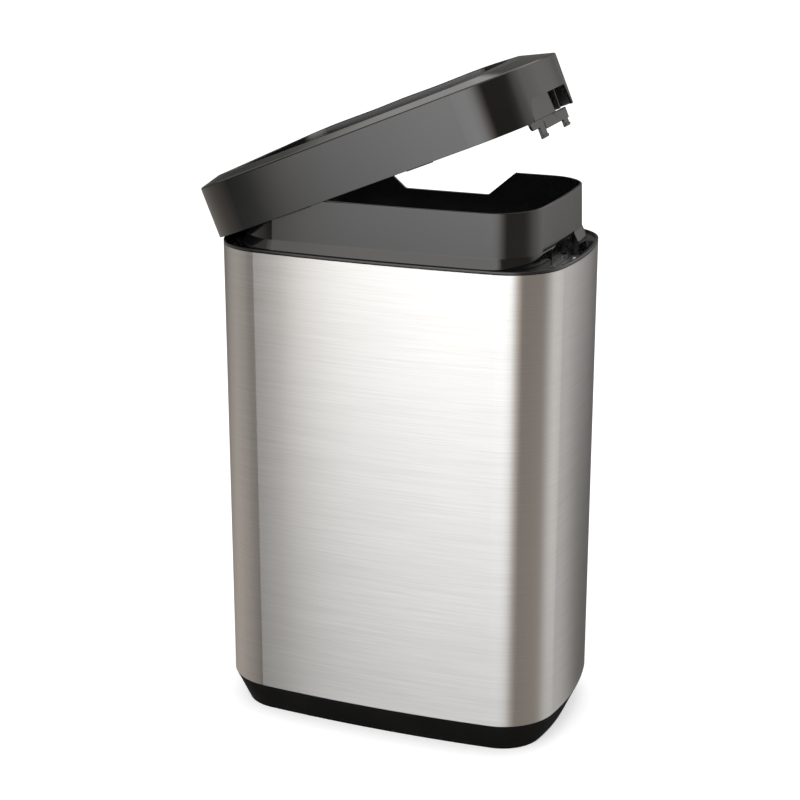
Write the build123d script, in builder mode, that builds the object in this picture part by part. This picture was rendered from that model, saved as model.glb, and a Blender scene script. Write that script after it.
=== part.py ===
"""A free-standing waste bin with a steel body, a bag collar and a hood lid hinged at its left end.

Millimetres. The origin is on the floor under the middle of the body, the front faces -Y.
"""
import os
from math import sqrt

from build123d import *

os.makedirs("parts", exist_ok=True)

# Plan of the body, seen from above
width = 400.0
depth = 241.0
front_radius = 1712.0
side_radius = 352.0
front_corner = 64.0
back_corner = 58.0

# Heights from the floor up
base_height = 35.5
steel_height = 510.5
lip_height = 3.5
collar_rise = 57.0
lid_gap = 1.0

# Lid seen from the side, and how far it stands open
open_angle = 22.4
lid_rim_height = 57.0
lid_wall = 2.5

# Hinge line, measured from the upper outer edge of the frame's lip
hinge_inboard = 9.4
hinge_drop = 10.0

# Common clearances and cuts
fit_gap = 0.3
bore_gap = 0.06
screw_gap = 0.05
overrun = 5.0

steel_top = base_height + steel_height
lip_top = steel_top + lip_height
lid_bottom = lip_top + lid_gap
collar_top = lip_top + collar_rise
front_y = -depth / 2
back_y = depth / 2
hinge_x = hinge_inboard - width / 2
hinge_z = lip_top - hinge_drop
hinge_axis = Axis((hinge_x, 0, hinge_z), (0, -1, 0))
floor_up = Plane.XY
back_plane = Plane.XZ.offset(-back_y)


def bowed_plan(span, front, back, front_bow, side_bow, side_y, front_round, back_round, inset):
    """Plan with a bowed front, bowed sides, a flat back and round corners, drawn inset."""
    with BuildSketch() as plan:
        with Locations((0, back - inset)):
            Rectangle(2 * span, 2 * (back - front), align=(Align.CENTER, Align.MAX))
        with Locations((0, front + front_bow)):
            Circle(front_bow - inset, mode=Mode.INTERSECT)
        for side in (-1, 1):
            with Locations((side * (span / 2 - side_bow), side_y)):
                Circle(side_bow - inset, mode=Mode.INTERSECT)
        fillet(plan.vertices().group_by(Axis.Y)[0], front_round - inset)
        fillet(plan.vertices().group_by(Axis.Y)[-1], back_round - inset)
    return plan.sketch


def bin_plan(inset):
    """Outline of the steel body, inset by a wall or a clearance."""
    return bowed_plan(
        width, front_y, back_y, front_radius, side_radius, 0, front_corner, back_corner, inset
    )


def bin_ring(outer_inset, inner_inset):
    """Band between two insets of the body's outline."""
    with BuildSketch() as ring:
        add(bin_plan(outer_inset))
        add(bin_plan(inner_inset), mode=Mode.SUBTRACT)
    return ring.sketch


# Screw and rivet heads: flat crown and straight side as shares of the head
head_crown_share = 0.6
head_side_share = 0.45


def screw(shank_radius, shank_length, head_radius, head_height):
    """Pan-head screw along Z, its head above the origin and its shank below."""
    with BuildPart() as body:
        with BuildSketch(Plane.XZ):
            with BuildLine():
                crown = head_radius * head_crown_share
                Polyline(
                    (0, head_height),
                    (crown, head_height),
                    (head_radius, head_height * head_side_share),
                    (head_radius, 0),
                    (shank_radius, 0),
                    (shank_radius, -shank_length + shank_radius),
                    (0, -shank_length),
                    close=True,
                )
            make_face()
        revolve(axis=Axis.Z)
    return body.part


# Steel mantle: one sheet wrapped round the body, its edges folded inwards as hems
sheet = 0.8
hem_depth = 12.0
seam_gap = 0.6
rivet_radius = 1.6
rivet_head = 3.6
rivet_height = 1.4
rivet_rows = 6
rivet_spread = 22.0
strip_wall = 1.0
strip_width = 36.0

strip_bottom = base_height + hem_depth + fit_gap
strip_height = steel_height - 2 * (hem_depth + fit_gap)
strip_middle = strip_bottom + strip_height / 2
rivet_pitch = strip_height / rivet_rows

# Screws at the back hold the mantle to the base below and to the frame above
back_screw_radius = 1.75
back_screw_head = 3.6
back_screw_height = 2.0
back_screw_length = 9.0
back_screw_inner = 62.0
back_screw_margin = 88.0

back_screw_outer = width / 2 - back_screw_margin
base_screw_z = base_height + hem_depth / 2
frame_screw_z = steel_top - hem_depth / 2
back_screw_xs = (-back_screw_outer, -back_screw_inner, back_screw_inner, back_screw_outer)
base_screw_spots = [(x, base_screw_z) for x in back_screw_xs]
frame_screw_spots = [(x, frame_screw_z) for x in back_screw_xs]

with BuildPart() as steel_mantle:
    with BuildSketch(floor_up.offset(base_height)):
        add(bin_ring(0, sheet))
    extrude(amount=steel_height)
    for hem_z in (base_height, steel_top - hem_depth):
        with BuildSketch(floor_up.offset(hem_z)):
            add(bin_ring(sheet, 2 * sheet))
        extrude(amount=hem_depth)
    with BuildSketch(floor_up.offset(base_height)):
        with Locations((0, back_y)):
            Rectangle(seam_gap, back_corner)
    extrude(amount=steel_height, mode=Mode.SUBTRACT)
    with BuildSketch(back_plane):
        with Locations((0, strip_middle)):
            with GridLocations(rivet_spread, rivet_pitch, 2, rivet_rows):
                Circle(rivet_radius + screw_gap)
        with Locations(*base_screw_spots, *frame_screw_spots):
            Circle(back_screw_radius + screw_gap)
    extrude(amount=2 * sheet + overrun, mode=Mode.SUBTRACT)

# Seam strip: backs the butt joint of the mantle inside, between the hems
with BuildPart() as seam_strip:
    with BuildSketch(back_plane.offset(sheet)):
        with Locations((0, strip_middle)):
            Rectangle(strip_width, strip_height)
            with GridLocations(rivet_spread, rivet_pitch, 2, rivet_rows):
                Circle(rivet_radius + screw_gap, mode=Mode.SUBTRACT)
    extrude(amount=strip_wall)

# Seam rivets: domed heads outside, set tails inside the strip
rivet_grip = sheet + strip_wall
with BuildPart() as rivet:
    with BuildSketch(Plane.XZ):
        with BuildLine():
            Polyline(
                (0, rivet_height),
                (rivet_head * head_crown_share, rivet_height),
                (rivet_head, rivet_height * head_side_share),
                (rivet_head, 0),
                (rivet_radius, 0),
                (rivet_radius, -rivet_grip),
                (rivet_head * head_crown_share, -rivet_grip),
                (rivet_head * head_crown_share, -rivet_grip - rivet_height),
                (0, -rivet_grip - rivet_height),
                close=True,
            )
        make_face()
    revolve(axis=Axis.Z)

back_face = Plane(origin=(0, back_y, 0), x_dir=(-1, 0, 0), z_dir=(0, 1, 0))
with BuildPart() as seam_rivets:
    with Locations(back_face):
        with Locations((0, strip_middle)):
            with GridLocations(rivet_spread, rivet_pitch, 2, rivet_rows):
                add(rivet.part)

# Base: tapered plinth with a floor, an upstand inside the mantle and ribs below
base_inset = 16.3
base_wall = 3.0
floor_wall = 3.0
floor_drop = 4.5
upstand_height = 26.0
upstand_wall = 3.0
rib_wall = 2.5
rib_columns = 5
rib_rows = 3
boss_radius = 4.5
boss_length = 5.0
lug_height = 3.0
lug_width = 24.0
lug_front_share = 0.2
lug_side_share = 0.15

# Rubber pads set flush in round bosses at the outer rib crossings
pad_radius = 11.0
pad_height = 2.5
pad_wall = 2.0

upstand_inset = 2 * sheet + fit_gap
floor_top = base_height - floor_drop
floor_under = floor_top - floor_wall
taper_share = (base_height - floor_under) / base_height
under_inset = base_inset * taper_share + base_wall
column_pitch = width / (rib_columns + 1)
row_pitch = depth / (rib_rows + 1)
pad_spread_x = (rib_columns - 1) * column_pitch
pad_spread_y = (rib_rows - 1) * row_pitch
lug_z = base_height + hem_depth + fit_gap
lug_spots = [(side * width * lug_front_share, front_y) for side in (-1, 1)]
lug_spots += [(end * width / 2, side * depth * lug_side_share) for end in (-1, 1) for side in (-1, 1)]

with BuildPart() as base_underside:
    with BuildSketch(floor_up):
        add(bin_plan(base_inset + base_wall))
    with BuildSketch(floor_up.offset(floor_under)):
        add(bin_plan(under_inset))
    loft(ruled=True)
    with BuildSketch(floor_up):
        with GridLocations(column_pitch, 0, rib_columns, 1):
            Rectangle(rib_wall, depth)
        with GridLocations(0, row_pitch, 1, rib_rows):
            Rectangle(width, rib_wall)
        with GridLocations(pad_spread_x, pad_spread_y, 2, 2):
            Circle(pad_radius + pad_wall)
    extrude(amount=floor_under, mode=Mode.SUBTRACT)

with BuildPart() as base_tray:
    with BuildSketch(floor_up):
        add(bin_plan(base_inset))
    with BuildSketch(floor_up.offset(base_height)):
        add(bin_plan(0))
    loft(ruled=True)
    with BuildSketch(floor_up.offset(floor_top)):
        add(bin_plan(upstand_inset))
    extrude(amount=base_height + upstand_height - floor_top)
    with BuildSketch(floor_up.offset(floor_top)):
        add(bin_plan(upstand_inset + upstand_wall))
    extrude(amount=base_height + upstand_height, mode=Mode.SUBTRACT)
    add(base_underside.part, mode=Mode.SUBTRACT)
    with BuildSketch(floor_up.offset(lug_z)):
        with Locations(*lug_spots):
            Rectangle(lug_width, lug_width)
        add(bin_ring(sheet + fit_gap, upstand_inset), mode=Mode.INTERSECT)
    extrude(amount=lug_height)
    with BuildSketch(back_plane.offset(upstand_inset)):
        with Locations(*base_screw_spots):
            Circle(boss_radius)
    extrude(amount=upstand_wall + boss_length)
    with BuildSketch(back_plane):
        with Locations(*base_screw_spots):
            Circle(back_screw_radius + screw_gap)
    extrude(amount=back_screw_length + fit_gap, mode=Mode.SUBTRACT)
    with BuildSketch(floor_up):
        with GridLocations(pad_spread_x, pad_spread_y, 2, 2):
            Circle(pad_radius + screw_gap)
    extrude(amount=pad_height, mode=Mode.SUBTRACT)

with BuildPart() as foot_pads:
    with BuildSketch(floor_up):
        with GridLocations(pad_spread_x, pad_spread_y, 2, 2):
            Circle(pad_radius)
    extrude(amount=pad_height)

back_screw = screw(back_screw_radius, back_screw_length, back_screw_head, back_screw_height)
with BuildPart() as base_screws:
    with Locations(back_face):
        with Locations(*base_screw_spots):
            add(back_screw)

with BuildPart() as frame_screws:
    with Locations(back_face):
        with Locations(*frame_screw_spots):
            add(back_screw)

# Bag collar: tall ring with a flared foot, its own bow and a notch in the back wall
collar_side_inset = 28.2
collar_front = 13.5
collar_back = 3.8
collar_front_radius = 2058.0
collar_side_radius = 874.0
collar_side_back = 27.0
collar_front_corner = 53.2
collar_back_corner = 44.3
collar_wall = 2.5
collar_draft = 1.4
collar_edge = 1.0
foot_flare = 5.0
foot_height = 12.0
foot_step = 2.0
flare_end = 60.0
notch_bottom_width = 100.6
notch_top_width = 165.0
notch_depth = 27.5
notch_corner = 6.0

# Frame: lip over the steel's edge, shelf inside it, skirt down inside the mantle
lip_width = 3.0
lip_edge = 0.8
groove_depth = 0.6
groove_height = 0.8
shelf_drop = 2.0
shelf_wall = 3.0
skirt_wall = 2.5
skirt_height = 28.0

collar_width = width - 2 * collar_side_inset
shelf_top = lip_top - shelf_drop
shelf_under = shelf_top - shelf_wall
skirt_inset = 2 * sheet + fit_gap
skirt_inner = skirt_inset + skirt_wall
skirt_bottom = steel_top - skirt_height
foot_top = shelf_top + foot_height


def collar_plan(inset):
    """Outline of the collar's top edge, inset by a wall or grown by a flare."""
    return bowed_plan(
        collar_width,
        front_y + collar_front,
        back_y - collar_back,
        collar_front_radius,
        collar_side_radius,
        collar_side_back,
        collar_front_corner,
        collar_back_corner,
        inset,
    )


# Pocket in the right shelf, where the lid's latch drops in
pocket_front = 33.0
pocket_past_prong = 3.0
pocket_front_margin = 52.5
pocket_back_margin = 54.5
pocket_inner_inset = 28.0
pocket_step_inset = 22.0
pocket_mouth_inset = 20.0
pocket_floor = 22.0
pocket_wall = 2.0

# Slots and bracket room at the left shelf, one pair for the two hinge arms
arm_spread = 44.0
arm_width = 10.0
arm_wall = 3.0
arm_reach = 12.4
arm_rise = 24.0
eye_radius = 4.6
slot_gap = 1.0
slot_reach = 3.7
bracket_wall = 1.5
bracket_length = 14.0
bracket_foot = 10.0
bracket_screw_share = 0.2
bracket_left = 4.0
skirt_relief = 1.0

arm_ys = (-arm_spread / 2, arm_spread / 2)
slot_left = hinge_x - slot_reach
slot_right = hinge_x + arm_reach + arm_wall / 2 + slot_gap
slot_width = arm_width + 2 * slot_gap
ear_middle = arm_width / 2 + fit_gap * 2 + bracket_wall / 2
bracket_half = ear_middle + bracket_foot
relief_half = arm_spread / 2 + bracket_half + skirt_relief


def flat_screw(shank_radius, shank_length, head_radius, head_height):
    """Countersunk screw along Z, flush at the origin and its shank below."""
    with BuildPart() as body:
        with BuildSketch(Plane.XZ):
            with BuildLine():
                Polyline(
                    (0, 0),
                    (head_radius, 0),
                    (shank_radius, -head_height),
                    (shank_radius, -shank_length),
                    (0, -shank_length),
                    close=True,
                )
            make_face()
        revolve(axis=Axis.Z)
    return body.part


bracket_screw_radius = 1.5
bracket_screw_head = 2.9
bracket_screw_height = 1.5
bracket_screw_length = 6.0
bracket_screw_out = 6.0
bracket_screw_x = hinge_x + bracket_length * bracket_screw_share
bracket_screw_spots = [
    (bracket_screw_x, arm_y + side * (ear_middle + bracket_screw_out))
    for arm_y in arm_ys
    for side in (-1, 1)
]
bracket_screw_places = [(x, y, shelf_top) for x, y in bracket_screw_spots]
bracket_screw = flat_screw(
    bracket_screw_radius, bracket_screw_length, bracket_screw_head, bracket_screw_height
)
bracket_screw_hole = flat_screw(
    bracket_screw_radius + screw_gap,
    bracket_screw_length,
    bracket_screw_head + screw_gap,
    bracket_screw_height,
)


def pocket_plan(grow):
    """Plan of the latch pocket, wider at the lip than at the collar, inside the skirt."""
    with BuildSketch() as plan:
        with BuildLine():
            Polyline(
                (pocket_inner_x - grow, -pocket_front - grow),
                (pocket_step_x, -pocket_front - grow),
                (pocket_mouth_x, -pocket_mouth_front - grow),
                (width / 2, -pocket_mouth_front - grow),
                (width / 2, pocket_mouth_back + grow),
                (pocket_mouth_x, pocket_mouth_back + grow),
                (pocket_step_x, pocket_back + grow),
                (pocket_inner_x - grow, pocket_back + grow),
                close=True,
            )
        make_face()
        add(bin_plan(skirt_inner), mode=Mode.INTERSECT)
    return plan.sketch


# Strike plate across the pocket, with a slot for each hook
strike_wall = 1.5
strike_screw_inset = 22.0
strike_screw_gap = 13.75
strike_end_inset = 15.5
strike_front_margin = 60.5
strike_back_margin = 57.5
slot_end_gap = 2.0
hook_pass = 0.4
hook_swing = 5.2
small_screw_radius = 1.5
small_screw_head = 2.8
small_screw_height = 1.5
small_screw_length = 8.0

# Latch plate on the lid: press panel, plate and two hooked prongs
latch_inset = 16.0
latch_wall = 2.5
latch_front_margin = 59.0
latch_back_margin = 58.0
latch_hang_front = 8.2
latch_hang_back = 12.3
panel_front_margin = 61.5
panel_back = 2.0
panel_inset = 8.5
panel_wall = 2.0
plate_corner = 7.0
slit_width = 1.0
slit_height = 8.5
rear_top = 2.0
prong_drop = 20.0
prong_front = -37.0
prong_front_width = 17.5
prong_back_width = 15.5
prong_back_gap = 5.0
hook_reach = 1.2
hook_height = 3.0
hook_tip = 1.0
latch_pin_height = 27.0
latch_pin_radius = 1.5
barrel_radius = 3.2

latch_x = width / 2 - latch_inset
latch_front = front_y + latch_front_margin
latch_back = back_y - latch_back_margin
panel_front = front_y + panel_front_margin
prong_back = latch_back - prong_back_gap
prong_spots = (
    (prong_front, prong_front + prong_front_width),
    (prong_back - prong_back_width, prong_back),
)
hook_top = lid_bottom - prong_drop + hook_height
strike_under = hook_top + fit_gap
pocket_bottom = shelf_top - pocket_floor
strike_screw_x = width / 2 - strike_screw_inset
strike_screw_ys = (prong_spots[0][1] + strike_screw_gap, prong_spots[1][0] - strike_screw_gap)
strike_screw_spots = [(strike_screw_x, y) for y in strike_screw_ys]
strike_end_x = width / 2 - strike_end_inset
strike_end_ys = (front_y + strike_front_margin, back_y - strike_back_margin)
strike_seats = strike_screw_spots + [(strike_end_x, y) for y in strike_end_ys]
pocket_back = prong_spots[1][0] + pocket_past_prong
pocket_mouth_front = depth / 2 - pocket_front_margin
pocket_mouth_back = depth / 2 - pocket_back_margin
pocket_inner_x = width / 2 - pocket_inner_inset
pocket_step_x = width / 2 - pocket_step_inset
pocket_mouth_x = width / 2 - pocket_mouth_inset


def collar_screw_spot(along, on_front):
    """Place of a screw under the collar's foot, on its front or on one of its sides."""
    if on_front:
        sag = collar_front_radius - sqrt(collar_front_radius**2 - along**2)
        return along, front_y + collar_front + sag - collar_screw_out
    sag = collar_side_radius - sqrt(collar_side_radius**2 - (along - collar_side_back) ** 2)
    return collar_width / 2 - sag + collar_screw_out, along


# Screws from below hold the collar's foot on the frame
collar_screw_out = 2.0
collar_screw_end_margin = 71.8
collar_screw_front_margin = 60.5
collar_screw_back_margin = 45.5

collar_screw_reach = collar_width / 2 - collar_screw_end_margin
collar_screw_spots = [collar_screw_spot(x, True) for x in (-collar_screw_reach, 0, collar_screw_reach)]
front_screw_x, front_screw_y = collar_screw_spot(front_y + collar_screw_front_margin, False)
back_screw_x, back_screw_y = collar_screw_spot(back_y - collar_screw_back_margin, False)
collar_screw_spots += [
    (-front_screw_x, front_screw_y), (-back_screw_x, back_screw_y), (back_screw_x, back_screw_y)
]

with BuildPart() as top_frame:
    with BuildSketch(floor_up.offset(steel_top)):
        add(bin_ring(groove_depth, lip_width))
    extrude(amount=groove_height)
    with BuildSketch(floor_up.offset(steel_top + groove_height)):
        add(bin_ring(0, lip_width))
    extrude(amount=lip_height - groove_height)
    fillet(top_frame.faces().sort_by(Axis.Z)[-1].outer_wire().edges(), lip_edge)
    with BuildSketch(floor_up.offset(shelf_under)):
        add(bin_plan(skirt_inset))
        add(collar_plan(collar_wall), mode=Mode.SUBTRACT)
    extrude(amount=shelf_wall)
    with BuildSketch(floor_up.offset(skirt_bottom)):
        add(bin_ring(skirt_inset, skirt_inner))
    extrude(amount=shelf_under - skirt_bottom)
    with BuildSketch(floor_up.offset(steel_top - hem_depth - fit_gap - lug_height)):
        with Locations(*lug_spots):
            Rectangle(lug_width, lug_width)
        add(bin_ring(sheet + fit_gap, skirt_inset), mode=Mode.INTERSECT)
    extrude(amount=lug_height)
    with BuildSketch(floor_up.offset(pocket_bottom)):
        add(pocket_plan(pocket_wall))
    extrude(amount=shelf_under - pocket_bottom)
    with BuildSketch(floor_up.offset(pocket_bottom + pocket_wall)):
        add(pocket_plan(0))
    extrude(amount=pocket_floor, mode=Mode.SUBTRACT)
    with BuildSketch(floor_up.offset(pocket_bottom)):
        with Locations(*strike_seats):
            Circle(boss_radius)
        add(pocket_plan(0), mode=Mode.INTERSECT)
    extrude(amount=strike_under - pocket_bottom)
    with BuildSketch(floor_up.offset(strike_under)):
        with Locations(*strike_screw_spots):
            Circle(small_screw_radius + screw_gap)
    extrude(amount=-small_screw_length, mode=Mode.SUBTRACT)
    with BuildSketch(floor_up.offset(shelf_under)):
        with Locations(*collar_screw_spots):
            Circle(small_screw_radius + screw_gap)
    extrude(amount=shelf_wall, mode=Mode.SUBTRACT)
    with BuildSketch(floor_up.offset(skirt_bottom)):
        with Locations((-width / 2, 0)):
            Rectangle(2 * skirt_height, 2 * relief_half)
    extrude(amount=shelf_under - skirt_bottom, mode=Mode.SUBTRACT)
    with BuildSketch(floor_up.offset(shelf_under)):
        for arm_y in arm_ys:
            with Locations(((slot_left + slot_right) / 2, arm_y)):
                Rectangle(slot_right - slot_left, slot_width)
    extrude(amount=shelf_wall, mode=Mode.SUBTRACT)
    with Locations(*bracket_screw_places):
        add(bracket_screw_hole, mode=Mode.SUBTRACT)
    with BuildSketch(back_plane.offset(skirt_inset)):
        with Locations(*frame_screw_spots):
            Circle(boss_radius)
    extrude(amount=skirt_wall + boss_length)
    with BuildSketch(back_plane):
        with Locations(*frame_screw_spots):
            Circle(back_screw_radius + screw_gap)
    extrude(amount=back_screw_length + fit_gap, mode=Mode.SUBTRACT)

with BuildPart() as bag_collar:
    with BuildSketch(floor_up.offset(foot_top)):
        add(collar_plan(-collar_draft))
    with BuildSketch(floor_up.offset(collar_top)):
        add(collar_plan(0))
    loft(ruled=True)
    fillet(bag_collar.faces().sort_by(Axis.Z)[-1].edges(), collar_edge)
    with BuildSketch(floor_up.offset(shelf_top + foot_step)):
        add(collar_plan(-collar_draft - foot_flare))
    with BuildSketch(floor_up.offset(foot_top)):
        add(collar_plan(-collar_draft))
    loft(ruled=True)
    with BuildSketch(floor_up.offset(shelf_top)):
        add(collar_plan(-collar_draft - foot_flare))
    extrude(amount=foot_step)
    with BuildSketch(floor_up.offset(shelf_top)):
        add(bin_plan(lip_width + fit_gap))
    extrude(amount=collar_top - shelf_top, mode=Mode.INTERSECT)
    with BuildSketch(floor_up.offset(shelf_top)):
        add(collar_plan(collar_wall))
    extrude(amount=collar_top - shelf_top, mode=Mode.SUBTRACT)
    with BuildSketch(back_plane):
        with BuildLine():
            FilletPolyline(
                (-notch_top_width / 2, collar_top),
                (-notch_bottom_width / 2, collar_top - notch_depth),
                (notch_bottom_width / 2, collar_top - notch_depth),
                (notch_top_width / 2, collar_top),
                radius=notch_corner,
            )
            Line((notch_top_width / 2, collar_top), (notch_top_width / 2, collar_top + overrun))
            Line(
                (notch_top_width / 2, collar_top + overrun),
                (-notch_top_width / 2, collar_top + overrun),
            )
            Line((-notch_top_width / 2, collar_top + overrun), (-notch_top_width / 2, collar_top))
        make_face()
    extrude(amount=back_corner, mode=Mode.SUBTRACT)
    with BuildSketch(floor_up.offset(shelf_top)):
        with Locations(((pocket_inner_x + width / 2) / 2, (pocket_back - pocket_front) / 2)):
            Rectangle(width / 2 - pocket_inner_x, pocket_front + pocket_back)
        with Locations((-(pocket_inner_x + width / 2) / 2, 0)):
            Rectangle(width / 2 - pocket_inner_x, arm_spread + slot_width)
        add(collar_plan(-fit_gap), mode=Mode.SUBTRACT)
    extrude(amount=foot_height + foot_step, mode=Mode.SUBTRACT)
    with BuildSketch(floor_up.offset(shelf_top)):
        with Locations((flare_end, -pocket_front)):
            Rectangle(width, depth, align=(Align.MIN, Align.MAX))
        add(collar_plan(-collar_draft), mode=Mode.SUBTRACT)
        with Locations((0, -foot_flare - fit_gap)):
            add(collar_plan(-collar_draft), mode=Mode.SUBTRACT)
    extrude(amount=foot_height, mode=Mode.SUBTRACT)
    with BuildSketch(floor_up.offset(shelf_top)):
        with Locations(*collar_screw_spots):
            Circle(small_screw_radius + screw_gap)
    extrude(amount=small_screw_length - shelf_wall, mode=Mode.SUBTRACT)

small_screw = screw(small_screw_radius, small_screw_length, small_screw_head, small_screw_height)
with BuildPart() as collar_screws:
    with Locations(*[Plane((x, y, shelf_under), z_dir=(0, 0, -1)) for x, y in collar_screw_spots]):
        add(small_screw)

with BuildPart() as strike_plate:
    with BuildSketch(floor_up.offset(strike_under)):
        add(pocket_plan(-fit_gap))
        add(bin_plan(skirt_inner + fit_gap), mode=Mode.INTERSECT)
        for hook_front, hook_back in prong_spots:
            slot_inner = latch_x - hook_swing
            slot_outer = latch_x + latch_wall + hook_pass
            with Locations(((slot_inner + slot_outer) / 2, (hook_front + hook_back) / 2)):
                Rectangle(
                    slot_outer - slot_inner,
                    hook_back - hook_front + 2 * slot_end_gap,
                    mode=Mode.SUBTRACT,
                )
        with Locations(*strike_screw_spots):
            Circle(small_screw_radius + screw_gap, mode=Mode.SUBTRACT)
    extrude(amount=strike_wall)

with BuildPart() as strike_screws:
    with Locations(*[(x, y, strike_under + strike_wall) for x, y in strike_screw_spots]):
        add(small_screw)

# Hinge brackets: bent steel straps under the left shelf, one round each arm
pin_radius = 2.0
pin_head_radius = 3.2
pin_head = 1.2
pin_end_gap = 1.0
bend_radius = 1.6
pin_point_share = 0.25

strap_top = shelf_under - bracket_wall / 2
strap_base = hinge_z - eye_radius - 2 * fit_gap - bracket_wall / 2
pin_half = arm_spread / 2 + ear_middle + bracket_wall / 2 + pin_end_gap


def hinge_bracket(arm_y):
    """Hat-shaped strap with an ear at each side of the arm and a hole for the pin."""
    with BuildPart() as strap:
        with BuildSketch(Plane.YZ.offset(hinge_x - bracket_left)):
            with BuildLine():
                FilletPolyline(
                    (arm_y - bracket_half, strap_top),
                    (arm_y - ear_middle, strap_top),
                    (arm_y - ear_middle, strap_base),
                    (arm_y + ear_middle, strap_base),
                    (arm_y + ear_middle, strap_top),
                    (arm_y + bracket_half, strap_top),
                    radius=bend_radius,
                )
            trace(line_width=bracket_wall)
        extrude(amount=bracket_length)
        with BuildSketch(Plane.XZ.offset(-width)):
            with Locations((hinge_x, hinge_z)):
                Circle(pin_radius + screw_gap)
        extrude(amount=2 * width, mode=Mode.SUBTRACT)
        with BuildSketch(floor_up.offset(shelf_under)):
            with Locations(*bracket_screw_spots):
                Circle(bracket_screw_radius + screw_gap)
        extrude(amount=-2 * bracket_wall, mode=Mode.SUBTRACT)
    return strap


hinge_bracket_front, hinge_bracket_rear = [hinge_bracket(arm_y) for arm_y in arm_ys]

with BuildPart() as hinge_bracket_screws:
    with Locations(*bracket_screw_places):
        add(bracket_screw)

pin_plane = Plane(origin=(hinge_x, -pin_half, hinge_z), x_dir=(1, 0, 0), z_dir=(0, 1, 0))
with BuildPart() as hinge_pin:
    with BuildSketch(pin_plane):
        Circle(pin_radius)
    extrude(amount=2 * pin_half)
    chamfer(hinge_pin.faces().sort_by(Axis.Y)[-1].edges(), pin_radius * pin_point_share)
    with BuildSketch(pin_plane):
        Circle(pin_head_radius)
    extrude(amount=-pin_head)

# Lid hood: heights are from its lower edge, which is level when the lid is shut
lid_slope_height = 16.0
lid_slope_front = 48.6
lid_slope_side = 60.6
lid_slope_front_corner = 15.0
lid_slope_back_corner = 30.0
lid_front_shoulder = 62.6
lid_front_margin = 17.0
lid_back_margin = 24.0
lid_back_height = 58.5
crown_bulge_share = 0.17
crown_middle_rise = 7.1
crown_flat_margin = 100.0
crown_flat_rise = 6.9
crown_turn_margin = 70.0
crown_turn_rise = 5.7
crown_tab_rise = 3.9
crown_end_margin = 25.0
crown_end_rise = 2.2
crown_edge_rise = -1.5
relief_height = 1.7
relief_length = 24.0

# Waste opening in the crown and its liner
opening_end_margin = 52.0
opening_front_margin = 20.5
opening_back_margin = 32.5
opening_corner = 46.0
liner_wall = 2.0
liner_sink = 0.8
liner_bottom = 48.0
tab_wall = 2.0
tab_length = 16.0
tab_width = 60.0
tab_screw_y = 20.0
tab_screw_out = 7.0
tab_screw_length = 4.0

# Finger window in the right end, open at the lid's lower edge
window_bottom_margin = 52.5
window_top_margin = 63.5
window_height = 23.0
window_corner = 4.0

# Finger pocket behind the window
grip_inset = 21.5
grip_wall = 1.5
grip_top = 33.0
grip_top_wall = 2.0
grip_bottom = 3.0
grip_front_margin = 54.5
grip_back_margin = 52.5
grip_ear = 14.0
divider_y = 3.0
divider_inset = 11.0
grip_rib_gap = 34.0
grip_rib_inset = 10.0
rib_thickness = 2.0
grip_screw_inset = 17.0
grip_boss_radius = 3.5

# Pads that the hinge arms are screwed to, inside the left end
arm_pad = 4.5
arm_pad_bottom = 14.0
arm_pad_height = 34.0
arm_top = 50.0
arm_bend = 3.5
arm_screw_low = 10.0
arm_screw_high = 20.0
arm_screw_length = 5.4
bush_wall = 1.0
bush_proud = 0.3

end_x = width / 2 + overrun
opening_length = width - 2 * opening_end_margin
opening_front = front_y + opening_front_margin
opening_back = back_y - opening_back_margin
tab_screw_x = opening_length / 2 + tab_screw_out
crest_front = front_y + lid_front_margin
crest_back = back_y - lid_back_margin
crown_half = (
    (width / 2 - crown_flat_margin, crown_flat_rise),
    (width / 2 - crown_turn_margin, crown_turn_rise),
    (tab_screw_x, crown_tab_rise),
    (width / 2 - crown_end_margin, crown_end_rise),
    (end_x, crown_edge_rise),
)
crown_sections = [(-x, rise) for x, rise in reversed(crown_half)]
crown_sections += [(0, crown_middle_rise), *crown_half]
lid_crown = lid_front_shoulder + crown_middle_rise
window_bottom_width = depth - 2 * window_bottom_margin
window_top_width = depth - 2 * window_top_margin
grip_x = width / 2 - grip_inset
grip_front = front_y + grip_front_margin
grip_back = back_y - grip_back_margin
grip_rib_y = grip_back - grip_rib_gap


def crown_height(rise, y):
    """Height at y of a crown whose back crest rises that far above the front shoulder."""
    share = (y - crest_front) / (crest_back - crest_front)
    return lid_front_shoulder + rise * share * (1 + 4 * crown_bulge_share * (1 - share))


def crowned_block(inset):
    """Solid hood: a wall, a slope all round it, and a crown that falls to the ends and front."""
    base = lid_bottom - overrun
    top = lid_bottom - inset
    front_top = top + lid_front_shoulder
    back_low = top + lid_back_height
    with BuildPart() as crown:
        for x, rise in crown_sections:
            back_top = front_top + rise
            back_slope = (back_top - back_low) / lid_back_margin
            with BuildSketch(Plane.YZ.offset(x)):
                with BuildLine():
                    Polyline(
                        (crest_front, front_top),
                        (front_y - overrun, front_top),
                        (front_y - overrun, base),
                        (back_y + overrun, base),
                        (back_y + overrun, back_low - back_slope * overrun),
                        (crest_back, back_top),
                    )
                    middle = (crest_front + crest_back) / 2
                    ThreePointArc(
                        (crest_front, front_top),
                        (middle, top + crown_height(rise, middle)),
                        (crest_back, back_top),
                    )
                make_face()
        loft()
    with BuildPart() as block:
        with BuildSketch(floor_up.offset(lid_bottom)):
            add(bin_plan(inset))
        extrude(amount=lid_rim_height - inset)
        with BuildSketch(floor_up.offset(top + lid_rim_height)):
            add(bin_plan(inset))
        with BuildSketch(floor_up.offset(top + lid_rim_height + lid_slope_height)):
            add(lid_slope_plan(inset))
        loft(ruled=True)
        add(crown.part, mode=Mode.INTERSECT)
    return block.part


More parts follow.
